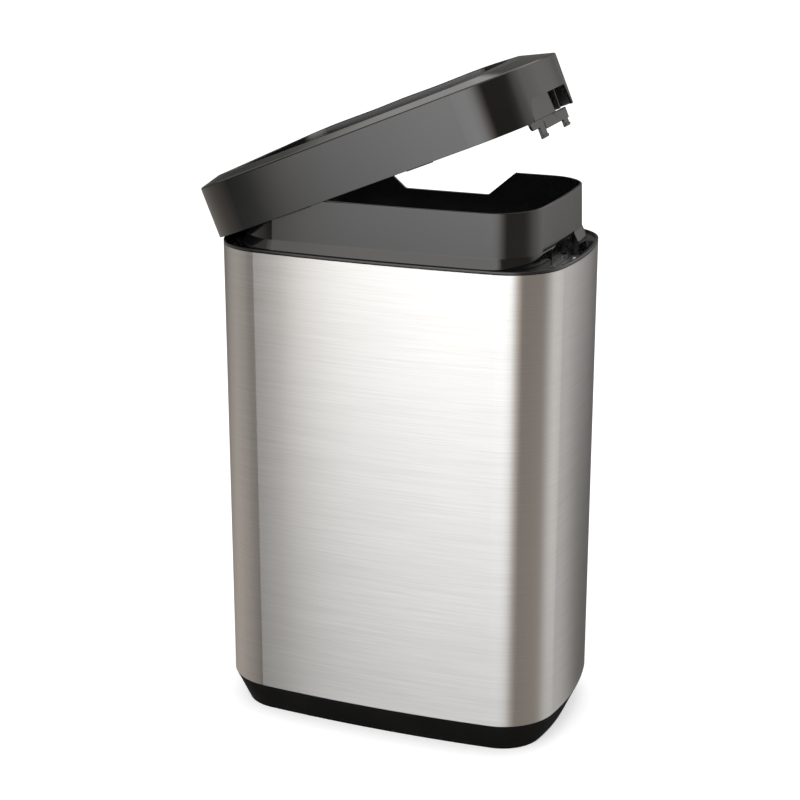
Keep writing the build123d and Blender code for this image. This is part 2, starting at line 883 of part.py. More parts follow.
def lid_slope_plan(inset):
    """Plan that the slope round the hood would reach above the crown."""
    return bowed_plan(
        width - 2 * lid_slope_side,
        front_y + lid_slope_front,
        back_y,
        front_radius - lid_slope_front,
        side_radius - lid_slope_side,
        0,
        lid_slope_front_corner,
        lid_slope_back_corner,
        inset,
    )


def opening_plan(inset):
    """Outline of the waste opening, bowed like the body."""
    return bowed_plan(
        opening_length,
        opening_front,
        opening_back,
        front_radius,
        collar_side_radius,
        (opening_front + opening_back) / 2,
        opening_corner,
        opening_corner,
        inset,
    )


lid_outside = crowned_block(0)
lid_inside = crowned_block(lid_wall)
tab_under = lid_bottom + crown_height(crown_tab_rise, -tab_width / 2) - lid_wall - tab_wall
tab_screw_spots = [(x, y) for x in (-tab_screw_x, tab_screw_x) for y in (-tab_screw_y, tab_screw_y)]
grip_screw_ys = (grip_front - grip_ear / 2, grip_back + grip_ear / 2)
grip_screw_spots = [(width / 2 - grip_screw_inset, y) for y in grip_screw_ys]
pad_face_x = arm_pad - width / 2
arm_screw_zs = (lid_bottom + arm_pad_bottom + arm_screw_low, lid_bottom + arm_pad_bottom + arm_screw_high)
arm_screw_spots = [(arm_y, z) for arm_y in arm_ys for z in arm_screw_zs]

with BuildPart() as lid_bosses:
    with BuildSketch(floor_up.offset(lid_bottom + grip_top)):
        with Locations(*grip_screw_spots):
            Circle(grip_boss_radius)
    extrude(amount=lid_crown)
    with BuildSketch(floor_up.offset(lid_bottom + arm_pad_bottom)):
        for arm_y in arm_ys:
            with Locations((pad_face_x, arm_y)):
                Rectangle(overrun, arm_width + arm_wall, align=(Align.MAX, Align.CENTER))
    extrude(amount=arm_pad_height)
    add(crowned_block(lid_wall / 2), mode=Mode.INTERSECT)

with BuildPart() as edge_relief:
    with BuildSketch(floor_up.offset(lid_bottom)):
        add(bin_plan(lid_wall - relief_height))
    with BuildSketch(floor_up.offset(lid_bottom + relief_height)):
        add(bin_plan(lid_wall))
    loft(ruled=True)
    with BuildSketch(floor_up.offset(lid_bottom)):
        with Locations((-width / 2, 0)):
            Rectangle(2 * relief_length, depth)
    extrude(amount=relief_height, mode=Mode.INTERSECT)

with BuildPart() as lid_shell:
    add(lid_outside)
    add(lid_inside, mode=Mode.SUBTRACT)
    add(lid_bosses.part)
    add(edge_relief.part, mode=Mode.SUBTRACT)
    with BuildSketch(floor_up.offset(lid_bottom + window_height)):
        add(opening_plan(0))
    extrude(amount=lid_crown, mode=Mode.SUBTRACT)
    with BuildSketch(Plane.YZ.offset(grip_x)):
        with BuildLine():
            FilletPolyline(
                (-window_bottom_width / 2, lid_bottom),
                (-window_top_width / 2, lid_bottom + window_height),
                (window_top_width / 2, lid_bottom + window_height),
                (window_bottom_width / 2, lid_bottom),
                radius=window_corner,
            )
            Polyline(
                (window_bottom_width / 2, lid_bottom),
                (window_bottom_width / 2, lid_bottom - overrun),
                (-window_bottom_width / 2, lid_bottom - overrun),
                (-window_bottom_width / 2, lid_bottom),
            )
        make_face()
    extrude(amount=width, mode=Mode.SUBTRACT)
    with BuildSketch(floor_up.offset(lid_bottom + grip_top - overrun)):
        with Locations(*grip_screw_spots):
            Circle(small_screw_radius + screw_gap)
    extrude(amount=overrun + small_screw_length, mode=Mode.SUBTRACT)
    with BuildSketch(floor_up.offset(tab_under)):
        with Locations(*tab_screw_spots):
            Circle(small_screw_radius + screw_gap)
    extrude(amount=tab_screw_length + screw_gap, mode=Mode.SUBTRACT)
    with BuildSketch(Plane.YZ.offset(pad_face_x)):
        with Locations(*arm_screw_spots):
            Circle(small_screw_radius + screw_gap)
    extrude(amount=-(arm_screw_length - arm_wall + screw_gap), mode=Mode.SUBTRACT)

with BuildPart() as liner_tabs:
    with BuildSketch(floor_up.offset(tab_under)):
        with GridLocations(opening_length + tab_length - 2 * liner_wall, 0, 2, 1):
            Rectangle(tab_length, tab_width)
    extrude(amount=lid_crown)
    add(lid_inside, mode=Mode.INTERSECT)

with BuildPart() as opening_liner:
    with BuildSketch(floor_up.offset(lid_bottom + liner_bottom)):
        add(opening_plan(fit_gap))
        add(opening_plan(fit_gap + liner_wall), mode=Mode.SUBTRACT)
    extrude(amount=lid_crown)
    add(crowned_block(liner_sink), mode=Mode.INTERSECT)
    add(liner_tabs.part)
    with BuildSketch(floor_up.offset(tab_under)):
        with Locations(*tab_screw_spots):
            Circle(small_screw_radius + screw_gap)
    extrude(amount=lid_crown, mode=Mode.SUBTRACT)

tab_screw = screw(small_screw_radius, tab_screw_length, small_screw_head, small_screw_height)
with BuildPart() as liner_screws:
    with Locations(*[Plane((x, y, tab_under), z_dir=(0, 0, -1)) for x, y in tab_screw_spots]):
        add(tab_screw)


def hinge_arm(arm_y):
    """Gooseneck arm: an eye round the bush, a reach inboard, up past the lip and back to the lid."""
    face_x = pad_face_x + arm_wall / 2
    with BuildPart() as arm:
        with BuildSketch(Plane.XZ.offset(-arm_y - arm_width / 2)):
            with BuildLine():
                FilletPolyline(
                    (hinge_x, hinge_z),
                    (hinge_x + arm_reach, hinge_z),
                    (hinge_x + arm_reach, hinge_z + arm_rise),
                    (face_x, hinge_z + arm_rise),
                    (face_x, hinge_z + arm_top),
                    radius=arm_bend,
                )
            trace(line_width=arm_wall)
            with Locations((hinge_x, hinge_z)):
                Circle(eye_radius)
                Circle(pin_radius + bush_wall + screw_gap + bore_gap, mode=Mode.SUBTRACT)
        extrude(amount=arm_width)
        with BuildSketch(Plane.YZ.offset(pad_face_x)):
            with Locations(*arm_screw_spots):
                Circle(small_screw_radius + screw_gap)
        extrude(amount=arm_wall, mode=Mode.SUBTRACT)
    return arm


hinge_arm_front, hinge_arm_rear = [hinge_arm(arm_y) for arm_y in arm_ys]

arm_screw = screw(small_screw_radius, arm_screw_length, small_screw_head, small_screw_height)
arm_screw_x = pad_face_x + arm_wall
with BuildPart() as hinge_arm_screws:
    with Locations(*[Plane((arm_screw_x, y, z), z_dir=(1, 0, 0)) for y, z in arm_screw_spots]):
        add(arm_screw)

bush_length = arm_width + 2 * bush_proud
with BuildPart() as hinge_bushes:
    for arm_y in arm_ys:
        with BuildSketch(Plane.XZ.offset(-arm_y - bush_length / 2)):
            with Locations((hinge_x, hinge_z)):
                Circle(pin_radius + bore_gap + bush_wall)
                Circle(pin_radius + bore_gap, mode=Mode.SUBTRACT)
        extrude(amount=bush_length)

pin_x = latch_x + latch_wall / 2
pin_z = lid_bottom + latch_pin_height
with BuildPart() as grip_pocket:
    with BuildSketch(floor_up.offset(lid_bottom + grip_top - grip_top_wall)):
        with Locations((grip_x, grip_front - grip_ear)):
            Rectangle(width, grip_back - grip_front + 2 * grip_ear, align=(Align.MIN, Align.MIN))
        add(bin_plan(lid_wall + fit_gap), mode=Mode.INTERSECT)
        with Locations(*grip_screw_spots):
            Circle(small_screw_radius + screw_gap, mode=Mode.SUBTRACT)
    extrude(amount=grip_top_wall)
    with BuildSketch(floor_up.offset(lid_bottom + grip_bottom)):
        with Locations((grip_x, grip_front)):
            Rectangle(grip_wall, grip_back - grip_front, align=(Align.MIN, Align.MIN))
        for wall_y, reach in (
            (grip_front, width),
            (divider_y, grip_inset - divider_inset),
            (grip_rib_y, grip_inset - grip_rib_inset),
            (grip_back - rib_thickness, width),
        ):
            with Locations((grip_x, wall_y)):
                Rectangle(reach, rib_thickness, align=(Align.MIN, Align.MIN))
        add(bin_plan(lid_wall + fit_gap), mode=Mode.INTERSECT)
    extrude(amount=grip_top - grip_bottom)
    with BuildSketch(Plane.XZ.offset(-divider_y - rib_thickness)):
        with Locations((pin_x, pin_z)):
            Circle(latch_pin_radius + screw_gap)
    extrude(amount=divider_y + rib_thickness - grip_front, mode=Mode.SUBTRACT)

with BuildPart() as grip_screws:
    z_head = lid_bottom + grip_top - grip_top_wall
    with Locations(*[Plane((x, y, z_head), z_dir=(0, 0, -1)) for x, y in grip_screw_spots]):
        add(small_screw)

with BuildPart() as latch_plate:
    with BuildSketch(Plane.YZ.offset(latch_x)) as latch_face:
        with BuildLine():
            Polyline(
                (panel_front, pin_z),
                (panel_front, lid_bottom),
                (latch_front, lid_bottom),
                (latch_front, lid_bottom - latch_hang_front),
                (prong_spots[0][0], lid_bottom - latch_hang_front),
                (prong_spots[0][0], lid_bottom - prong_drop),
                (prong_spots[0][1], lid_bottom - prong_drop),
                (prong_spots[0][1], lid_bottom - latch_hang_back),
                (prong_spots[1][0], lid_bottom - latch_hang_back),
                (prong_spots[1][0], lid_bottom - prong_drop),
                (prong_spots[1][1], lid_bottom - prong_drop),
                (prong_spots[1][1], lid_bottom - latch_hang_back),
                (latch_back, lid_bottom - latch_hang_back),
                (latch_back, lid_bottom + rear_top),
                (panel_back, lid_bottom + rear_top),
                (panel_back, pin_z),
                close=True,
            )
        make_face()
        fillet(latch_face.vertices().group_by(Axis.X)[0].sort_by(Axis.Y)[0], plate_corner)
        with Locations((prong_spots[0][1], lid_bottom - latch_hang_back)):
            Rectangle(slit_width, slit_height, align=(Align.MIN, Align.MIN), mode=Mode.SUBTRACT)
    extrude(amount=latch_wall)
    with BuildSketch(Plane.YZ.offset(latch_x + latch_wall)):
        with Locations((panel_front, lid_bottom)):
            Rectangle(panel_back - panel_front, pin_z - lid_bottom, align=(Align.MIN, Align.MIN))
    extrude(amount=latch_inset - latch_wall - panel_inset)
    with BuildSketch(Plane.YZ.offset(latch_x + latch_wall)):
        with Locations((panel_front + panel_wall, lid_bottom)):
            Rectangle(
                panel_back - panel_front - 2 * panel_wall,
                pin_z - lid_bottom - barrel_radius - panel_wall,
                align=(Align.MIN, Align.MIN),
            )
    extrude(amount=latch_inset - latch_wall - panel_inset - panel_wall, mode=Mode.SUBTRACT)
    with BuildSketch(Plane.XZ.offset(-panel_back)):
        with Locations((pin_x, pin_z)):
            Circle(barrel_radius)
    extrude(amount=panel_back - panel_front)
    for hook_front, hook_back in prong_spots:
        with BuildSketch(Plane.XZ.offset(-hook_back)):
            hook_x = latch_x + latch_wall
            with BuildLine():
                Polyline(
                    (latch_x, hook_top),
                    (hook_x + hook_reach, hook_top),
                    (hook_x + hook_reach, hook_top - hook_tip),
                    (hook_x, hook_top - hook_height),
                    (latch_x, hook_top - hook_height),
                    close=True,
                )
            make_face()
        extrude(amount=hook_back - hook_front)
    with BuildSketch(Plane.XZ.offset(-panel_back)):
        with Locations((pin_x, pin_z)):
            Circle(latch_pin_radius + bore_gap)
    extrude(amount=panel_back - panel_front, mode=Mode.SUBTRACT)

with BuildPart() as latch_pin:
    with BuildSketch(Plane.XZ.offset(-divider_y - rib_thickness)):
        with Locations((pin_x, pin_z)):
            Circle(latch_pin_radius)
    extrude(amount=divider_y + rib_thickness - grip_front)

# Leaf spring between the pocket's back wall and the press panel
spring_wall = 0.4
spring_width = 12.0
spring_y = -30.0
spring_top = 24.0
spring_foot = 16.0
spring_touch = 7.0
spring_tip = 4.0
spring_gap = 0.1

spring_left = grip_x + grip_wall + spring_wall / 2 + spring_gap
spring_right = latch_x - spring_wall / 2 - spring_gap
with BuildPart() as latch_spring:
    with BuildSketch(Plane.XZ.offset(-spring_y - spring_width / 2)):
        with BuildLine():
            Polyline(
                (spring_left, lid_bottom + spring_top),
                (spring_left, lid_bottom + spring_foot),
                (spring_right, lid_bottom + spring_touch),
                ((spring_left + spring_right) / 2, lid_bottom + spring_tip),
            )
        trace(line_width=spring_wall)
    extrude(amount=spring_width)

# Rubber bumpers under the lid's lower edge
bumper_height = 0.7
bumper_length = 30.0
bumper_share = 0.2
with BuildPart() as lid_bumpers:
    with BuildSketch(floor_up.offset(lid_bottom - bumper_height)):
        with GridLocations(2 * width * bumper_share, depth, 2, 2):
            Rectangle(bumper_length, bumper_length)
        add(bin_ring(fit_gap, lid_wall - fit_gap), mode=Mode.INTERSECT)
    extrude(amount=bumper_height)

for piece, name in (
    (lid_shell, "lid_shell"),
    (opening_liner, "opening_liner"),
    (liner_screws, "liner_screws"),
    (hinge_arm_front, "hinge_arm_front"),
    (hinge_arm_rear, "hinge_arm_rear"),
    (hinge_arm_screws, "hinge_arm_screws"),
    (hinge_bushes, "hinge_bushes"),
    (grip_pocket, "grip_pocket"),
    (grip_screws, "grip_screws"),
    (lid_bumpers, "lid_bumpers"),
    (latch_plate, "latch_plate"),
    (latch_pin, "latch_pin"),
    (latch_spring, "latch_spring"),
):
    opened = piece.part.rotate(hinge_axis, open_angle)
    opened.label = name
    export_step(opened, f"parts/{name}.step")

for piece, name in (
    (steel_mantle, "steel_mantle"),
    (seam_strip, "seam_strip"),
    (seam_rivets, "seam_rivets"),
    (base_tray, "base_tray"),
    (foot_pads, "foot_pads"),
    (base_screws, "base_screws"),
    (frame_screws, "frame_screws"),
    (top_frame, "top_frame"),
    (bag_collar, "bag_collar"),
    (collar_screws, "collar_screws"),
    (strike_plate, "strike_plate"),
    (strike_screws, "strike_screws"),
    (hinge_bracket_front, "hinge_bracket_front"),
    (hinge_bracket_rear, "hinge_bracket_rear"),
    (hinge_bracket_screws, "hinge_bracket_screws"),
    (hinge_pin, "hinge_pin"),
):
    piece.part.label = name
    export_step(piece.part, f"parts/{name}.step")
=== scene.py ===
"""Looks of a tall waste bin: brushed steel body, black base, black bag collar and hood lid.

Metres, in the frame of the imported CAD: the origin is on the floor under the body, the front faces -Y.
"""
import math

import bmesh
import bpy
from mathutils import Matrix, Vector


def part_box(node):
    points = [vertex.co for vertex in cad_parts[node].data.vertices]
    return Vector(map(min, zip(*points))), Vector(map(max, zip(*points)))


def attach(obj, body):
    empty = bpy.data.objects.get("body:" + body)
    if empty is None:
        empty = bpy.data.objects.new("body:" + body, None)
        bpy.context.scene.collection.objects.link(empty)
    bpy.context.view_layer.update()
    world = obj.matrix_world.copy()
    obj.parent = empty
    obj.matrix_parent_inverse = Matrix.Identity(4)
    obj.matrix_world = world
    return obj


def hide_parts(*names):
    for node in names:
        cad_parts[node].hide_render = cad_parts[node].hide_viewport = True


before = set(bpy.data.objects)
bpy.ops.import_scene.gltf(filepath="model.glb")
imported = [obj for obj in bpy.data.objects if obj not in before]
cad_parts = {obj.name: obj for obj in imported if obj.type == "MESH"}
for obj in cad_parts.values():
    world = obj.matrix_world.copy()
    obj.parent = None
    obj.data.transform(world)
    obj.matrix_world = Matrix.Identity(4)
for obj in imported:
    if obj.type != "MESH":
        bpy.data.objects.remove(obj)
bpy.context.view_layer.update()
MM = 0.001

# Camera: the photograph's place, found from the bin's edges. It stands to the right of the front,
# above the rim, with a long lens, and is level.
camera_azimuth = 21.53
camera_elevation = 17.82
camera_distance = 2156.4 * MM
camera_target = Vector((-18.65, 15.74, 355.05)) * MM
camera_lens = 85.14

azimuth = math.radians(camera_azimuth)
elevation = math.radians(camera_elevation)
towards_camera = Vector((
    math.sin(azimuth) * math.cos(elevation),
    -math.cos(azimuth) * math.cos(elevation),
    math.sin(elevation),
))
camera_data = bpy.data.cameras.new("camera")
camera_data.lens = camera_lens
camera = bpy.data.objects.new("camera", camera_data)
bpy.context.collection.objects.link(camera)
camera.location = camera_target + towards_camera * camera_distance
camera.rotation_euler = (-towards_camera).to_track_quat("-Z", "Y").to_euler()
bpy.context.scene.camera = camera
bpy.context.scene.view_settings.view_transform = "Standard"


def linear(hex_colour):
    """The linear colour of an sRGB hex value, with alpha."""
    shares = [int(hex_colour[i:i + 2], 16) / 255 for i in (1, 3, 5)]
    return [s / 12.92 if s <= 0.04045 else ((s + 0.055) / 1.055) ** 2.4 for s in shares] + [1.0]


def new_material(name):
    """An empty material and its output node."""
    material = bpy.data.materials.new(name)
    material.use_nodes = True
    material.node_tree.nodes.clear()
    return material, material.node_tree.nodes.new("ShaderNodeOutputMaterial")


def add_node(owner, kind, settings=None, sockets=None, links=None):
    """A shader node with its settings, its plain socket values and the outputs linked into it."""
    node = owner.node_tree.nodes.new(kind)
    for name, value in (settings or {}).items():
        setattr(node, name, value)
    for name, value in (sockets or {}).items():
        node.inputs[name].default_value = value
    for name, source in (links or {}).items():
        owner.node_tree.links.new(source, node.inputs[name])
    return node


def dress(name, material):
    """Gives a carried-over CAD node its material."""
    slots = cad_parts[name].data.materials
    slots.clear()
    slots.append(material)


# Studio: a white floor that keeps the bin's shadow, and a white surround. A ring of cards stands
# round the bin for reflections alone, as in a photographer's studio: a large soft box in front, a
# black card on the right, a weaker box behind, and the table's white below them.
floor_size = 60.0
floor_colour = "#f4f4f4"
floor_lift = 0.4
world_glow = 0.85
card_radius = 3.0
card_bottom = -3.0
card_top = 4.0
card_steps = 96
card_peak = 5.0
# Each card stop is a turn in degrees from the front towards the right, a radiance and a tint.
pure, cool, warm = (0.98, 0.99, 1.0), (1.0, 0.98, 0.96), (1.0, 0.89, 0.8)
table_cards = (
    (-180, 0.05, warm), (-155, 0.3, warm), (-120, 0.6, warm), (-90, 0.8, warm), (-42, 0.65, warm),
    (-38, 0.05, cool), (-20, 0.03, cool), (20, 0.03, cool), (36, 0.5, warm), (50, 0.75, warm), (92, 0.85, warm),
    (106, 1.1, cool), (125, 1.1, cool), (145, 0.6, cool), (153, 0.05, warm), (180, 0.05, warm),
)
side_cards = (
    (-180, 0.2, cool), (-170, 0.13, cool), (-120, 0.13, cool), (-100, 0.3, cool), (-75, 0.45, cool),
    (-55, 0.4, cool), (-46, 0.15, cool), (-37, 0.06, warm), (-34, 0.5, cool), (-32, 2.1, cool),
    (-29.6, 2.9, cool), (-24.6, 3.7, pure), (-12, 4.5, pure), (14, 4.6, pure), (25, 3.8, pure), (37, 1.4, warm),
    (45, 0.15, warm), (84, 0.15, warm), (98, 0.5, cool), (110, 0.95, cool), (135, 1.05, cool), (150, 0.9, cool),
    (162, 0.55, cool), (172, 0.25, cool),
)
ceiling_cards = (
    (-180, 1.2, cool), (-115, 1.2, cool), (-90, 0.6, cool), (-50, 0.6, cool), (-30, 3.0, cool), (24, 3.2, pure),
    (36, 0.2, warm), (100, 0.2, warm), (115, 0.8, cool), (150, 1.2, cool),
)
# The bands blend between these heights in metres: table to sides, sides to ceiling, dark to table.
table_edge = (-1.05, 0.66)
ceiling_edge = (1.62, 1.95)
dark_edge = (-2.0, -1.6)
lamp_aim = Vector((0, 0, 0.35))
# A colour Mix node's sockets share their names, so they are told by number.
mix_share, mix_first, mix_second, mix_result = 0, 6, 7, 2

floor_mesh = bpy.data.meshes.new("floor")
half_floor = floor_size / 2
floor_mesh.from_pydata([
    (-half_floor, -half_floor, 0), (half_floor, -half_floor, 0), (half_floor, half_floor, 0),
    (-half_floor, half_floor, 0)], [], [(0, 1, 2, 3)])
floor = bpy.data.objects.new("floor", floor_mesh)
bpy.context.collection.objects.link(floor)
floor.visible_glossy = False
paper, paper_output = new_material("white_seamless_paper")
path = add_node(paper, "ShaderNodeLightPath")
seen = add_node(paper, "ShaderNodeMath", {"operation": "MAXIMUM"}, {}, {
    0: path.outputs["Is Camera Ray"], 1: path.outputs["Is Glossy Ray"]})
seen_all = add_node(paper, "ShaderNodeMath", {"operation": "MAXIMUM"}, {}, {
    0: seen.outputs[0], 1: path.outputs["Is Transmission Ray"]})
lift = add_node(paper, "ShaderNodeMath", {"operation": "MULTIPLY"}, {1: floor_lift}, {0: seen_all.outputs[0]})
glow = add_node(paper, "ShaderNodeEmission", {}, {"Color": (1, 1, 1, 1)}, {"Strength": lift.outputs[0]})
matt = add_node(paper, "ShaderNodeBsdfDiffuse", {}, {"Color": linear(floor_colour)})
both = add_node(paper, "ShaderNodeAddShader", {}, {}, {0: matt.outputs[0], 1: glow.outputs[0]})
paper.node_tree.links.new(both.outputs[0], paper_output.inputs["Surface"])
floor_mesh.materials.append(paper)

world = bpy.data.worlds.new("white_surround")
bpy.context.scene.world = world
world.use_nodes = True
world.node_tree.nodes.clear()
world_output = add_node(world, "ShaderNodeOutputWorld")
world_path = add_node(world, "ShaderNodeLightPath")
world_seen = add_node(world, "ShaderNodeMath", {"operation": "MAXIMUM"}, {}, {
    0: world_path.outputs["Is Camera Ray"], 1: world_path.outputs["Is Glossy Ray"]})
world_all = add_node(world, "ShaderNodeMath", {"operation": "MAXIMUM"}, {}, {
    0: world_seen.outputs[0], 1: world_path.outputs["Is Transmission Ray"]})
world_strength = add_node(world, "ShaderNodeMapRange", {}, {"To Min": world_glow, "To Max": 1.0},
                          {"Value": world_all.outputs[0]})
background = add_node(world, "ShaderNodeBackground", {}, {"Color": (1, 1, 1, 1)},
                      {"Strength": world_strength.outputs[0]})
world.node_tree.links.new(background.outputs[0], world_output.inputs["Surface"])

cards = bmesh.new()
rings = [
    [cards.verts.new((card_radius * math.cos(turn), card_radius * math.sin(turn), height))
     for turn in (2 * math.pi * k / card_steps for k in range(card_steps))]
    for height in (card_bottom, card_top)
]
for k in range(card_steps):
    cards.faces.new((rings[0][k - 1], rings[0][k], rings[1][k], rings[1][k - 1]))
cards.faces.new(rings[0])
cards_mesh = bpy.data.meshes.new("studio_cards")
cards.to_mesh(cards_mesh)
cards.free()
cards_object = bpy.data.objects.new("studio_cards", cards_mesh)
bpy.context.collection.objects.link(cards_object)
cards_object.visible_camera = False
cards_object.visible_diffuse = False
cards_object.visible_shadow = False
cards_object.visible_transmission = False
card, card_output = new_material("studio_card")
card_place = add_node(card, "ShaderNodeTexCoord")
card_axes = add_node(card, "ShaderNodeSeparateXYZ", {}, {}, {"Vector": card_place.outputs["Object"]})
card_front = add_node(card, "ShaderNodeMath", {"operation": "MULTIPLY"}, {1: -1.0}, {0: card_axes.outputs["Y"]})
card_turn = add_node(card, "ShaderNodeMath", {"operation": "ARCTAN2"}, {}, {
    0: card_axes.outputs["X"], 1: card_front.outputs[0]})
card_share = add_node(card, "ShaderNodeMapRange", {}, {"From Min": -math.pi, "From Max": math.pi},
                      {"Value": card_turn.outputs[0]})
card_parts = []
for card_stops in (table_cards, side_cards, ceiling_cards):
    ramp = add_node(card, "ShaderNodeValToRGB", {}, {}, {"Fac": card_share.outputs[0]})
    stops = ramp.color_ramp.elements
    stops.remove(stops[1])
    for k, (turn, radiance, tint) in enumerate(card_stops):
        stop = stops[0] if k == 0 else stops.new((turn + 180) / 360)
        stop.position = (turn + 180) / 360
        stop.color = [radiance / card_peak * share for share in tint] + [1]
    card_parts.append(ramp.outputs["Color"])
card_steps_up = [
    add_node(card, "ShaderNodeMapRange", {"interpolation_type": "SMOOTHSTEP"}, {
        "From Min": low, "From Max": high}, {"Value": card_axes.outputs["Z"]}).outputs[0]
    for low, high in (table_edge, ceiling_edge, dark_edge)
]
card_low = add_node(card, "ShaderNodeMix", {"data_type": "RGBA"}, {}, {
    mix_share: card_steps_up[0], mix_first: card_parts[0], mix_second: card_parts[1]})
card_colour = add_node(card, "ShaderNodeMix", {"data_type": "RGBA"}, {}, {
    mix_share: card_steps_up[1], mix_first: card_low.outputs[mix_result], mix_second: card_parts[2]})
card_lit = add_node(card, "ShaderNodeMath", {"operation": "MULTIPLY"}, {1: card_peak}, {0: card_steps_up[2]})
card_light = add_node(card, "ShaderNodeEmission", {}, {}, {
    "Color": card_colour.outputs[mix_result], "Strength": card_lit.outputs[0]})
card.node_tree.links.new(card_light.outputs[0], card_output.inputs["Surface"])
cards_mesh.materials.append(card)


def soft_box(name, turn, distance, height, width, rise, radiance):
    """A soft box that lights the bin: turn is measured from the front towards the right."""
    light = bpy.data.lights.new(name, "AREA")
    light.shape = "RECTANGLE"
    light.size = width
    light.size_y = rise
    light.energy = radiance * math.pi * width * rise
    box = bpy.data.objects.new(name, light)
    bpy.context.collection.objects.link(box)
    box.visible_glossy = False
    box.location = (math.sin(turn) * distance, -math.cos(turn) * distance, height)
    box.rotation_euler = (lamp_aim - box.location).to_track_quat("-Z", "Y").to_euler()
    return box


soft_box("soft_box_front", turn=math.radians(-2), distance=2.0, height=1.35, width=1.5, rise=2.2, radiance=1.2)
soft_box("soft_box_top", turn=math.radians(150), distance=1.0, height=2.9, width=1.8, rise=1.8, radiance=0.8)

# Body: one sheet of stainless steel, brushed along the sheet before it was bent, so the grain
# runs round the bin. It mirrors sharply along the grain and smears up and down across it.
grain_height = 1.1 * MM
grain_length = 90 * MM
grain_dark, grain_light = "#b3b1ae", "#d2d1cf"
grain_shine = (0.29, 0.35)
grain_strength, grain_depth = 0.12, 0.05 * MM
steel, steel_output = new_material("brushed_stainless_steel")
place = add_node(steel, "ShaderNodeTexCoord")
along_grain = add_node(steel, "ShaderNodeMapping", {}, {
    "Scale": (1 / grain_length, 1 / grain_length, 1 / grain_height)}, {"Vector": place.outputs["Object"]})
grain = add_node(steel, "ShaderNodeTexNoise", {}, {"Scale": 1.0, "Detail": 3.0, "Roughness": 0.6},
                 {"Vector": along_grain.outputs[0]})
steel_colour = add_node(steel, "ShaderNodeMix", {"data_type": "RGBA"}, {
    mix_first: linear(grain_dark), mix_second: linear(grain_light)}, {mix_share: grain.outputs[0]})
steel_roughness = add_node(steel, "ShaderNodeMapRange", {}, {"To Min": grain_shine[0], "To Max": grain_shine[1]},
                           {"Value": grain.outputs[0]})
steel_bump = add_node(steel, "ShaderNodeBump", {}, {"Strength": grain_strength, "Distance": grain_depth},
                      {"Height": grain.outputs[0]})
round_bin = add_node(steel, "ShaderNodeTangent", {"direction_type": "RADIAL", "axis": "Z"})
steel_surface = add_node(steel, "ShaderNodeBsdfPrincipled", {}, {
    "Metallic": 1.0, "Anisotropic": 1.0, "Anisotropic Rotation": 0.25}, {
    "Base Color": steel_colour.outputs[mix_result], "Roughness": steel_roughness.outputs[0],
    "Normal": steel_bump.outputs[0], "Tangent": round_bin.outputs[0]})
steel.node_tree.links.new(steel_surface.outputs[0], steel_output.inputs["Surface"])
dress("steel_mantle", steel)

# Seam: the sheet's two edges meet in a butt seam at the back. A zinc-plated strip backs it on the
# inside, and two rows of domed rivets hold sheet and strip together.
rivet_radius, rivet_head, rivet_height = 1.6 * MM, 3.6 * MM, 1.4 * MM
rivet_spread = 22 * MM
rivet_rows = 6
rivet_grip = 1.8 * MM
round_steps = 24
dome_steps = 5
tip_width, tip_length = 0.6, 0.5  # of a shank's radius
flat_crown = 0.5  # of a rivet head's radius
cross_crown, cross_reach, cross_width = 2.0, 1.6, 0.35  # of a screw's recess
cross_depth = 0.7  # of a screw head's height
rivet_seed = 3
zinc_cloud_size = 6 * MM
zinc_dark, zinc_light = "#a9abac", "#c6c8c9"
zinc_shine = (0.28, 0.42)
sharp_angle = 28


def finish_piece(mesh, name, material):
    """The object of a finished mesh: smooth but for its edges, with one material."""
    data = bpy.data.meshes.new(name)
    bmesh.ops.recalc_face_normals(mesh, faces=mesh.faces)
    mesh.to_mesh(data)
    mesh.free()
    data.materials.append(material)
    data.shade_smooth()
    data.set_sharp_from_angle(angle=math.radians(sharp_angle))
    piece = bpy.data.objects.new(name, data)
    bpy.context.collection.objects.link(piece)
    return piece


def fastener(name, shank_radius, shank_length, head_radius, head_height, recess, material):
    """A domed fastener along Z, its head above the origin. Recess is the arm of a screw's cross."""
    mesh = bmesh.new()
    crown = cross_crown * recess if recess else flat_crown * head_radius
    last = math.acos(crown / head_radius)
    outline = [(tip_width * shank_radius, -shank_length),
               (shank_radius, tip_length * shank_radius - shank_length), (shank_radius, 0), (head_radius, 0)]
    outline += [(head_radius * math.cos(last * k / dome_steps),
                 head_height * math.sin(last * k / dome_steps) / math.sin(last)) for k in range(1, dome_steps + 1)]
    rings = [[mesh.verts.new((radius * math.cos(turn), radius * math.sin(turn), height))
              for turn in (2 * math.pi * k / round_steps for k in range(round_steps))]
             for radius, height in outline]
    for low, high in zip(rings, rings[1:]):
        for k in range(round_steps):
            mesh.faces.new((low[k - 1], low[k], high[k], high[k - 1]))
    mesh.faces.new(rings[0])
    if recess:
        arm, half_arm = cross_reach * recess, cross_width * recess
        corners = [(arm, -half_arm), (arm, half_arm), (half_arm, half_arm)]
        cross = [mesh.verts.new((x * math.cos(turn) - y * math.sin(turn), x * math.sin(turn) + y * math.cos(turn),
                                 head_height)) for turn in (0, math.pi / 2, math.pi, 1.5 * math.pi)
                 for x, y in corners]
        edges = [mesh.edges.new((cross[k - 1], cross[k])) for k in range(len(cross))]
        rim = [mesh.edges.get((rings[-1][k - 1], rings[-1][k])) for k in range(round_steps)]
        bmesh.ops.triangle_fill(mesh, edges=edges + rim, use_beauty=True)
        floor_face = mesh.faces.new(cross)
        sunk = bmesh.ops.extrude_discrete_faces(mesh, faces=[floor_face])["faces"][0]
        for corner in sunk.verts:
            corner.co.z -= cross_depth * head_height
    else:
        mesh.faces.new(rings[-1])
    return finish_piece(mesh, name, material)


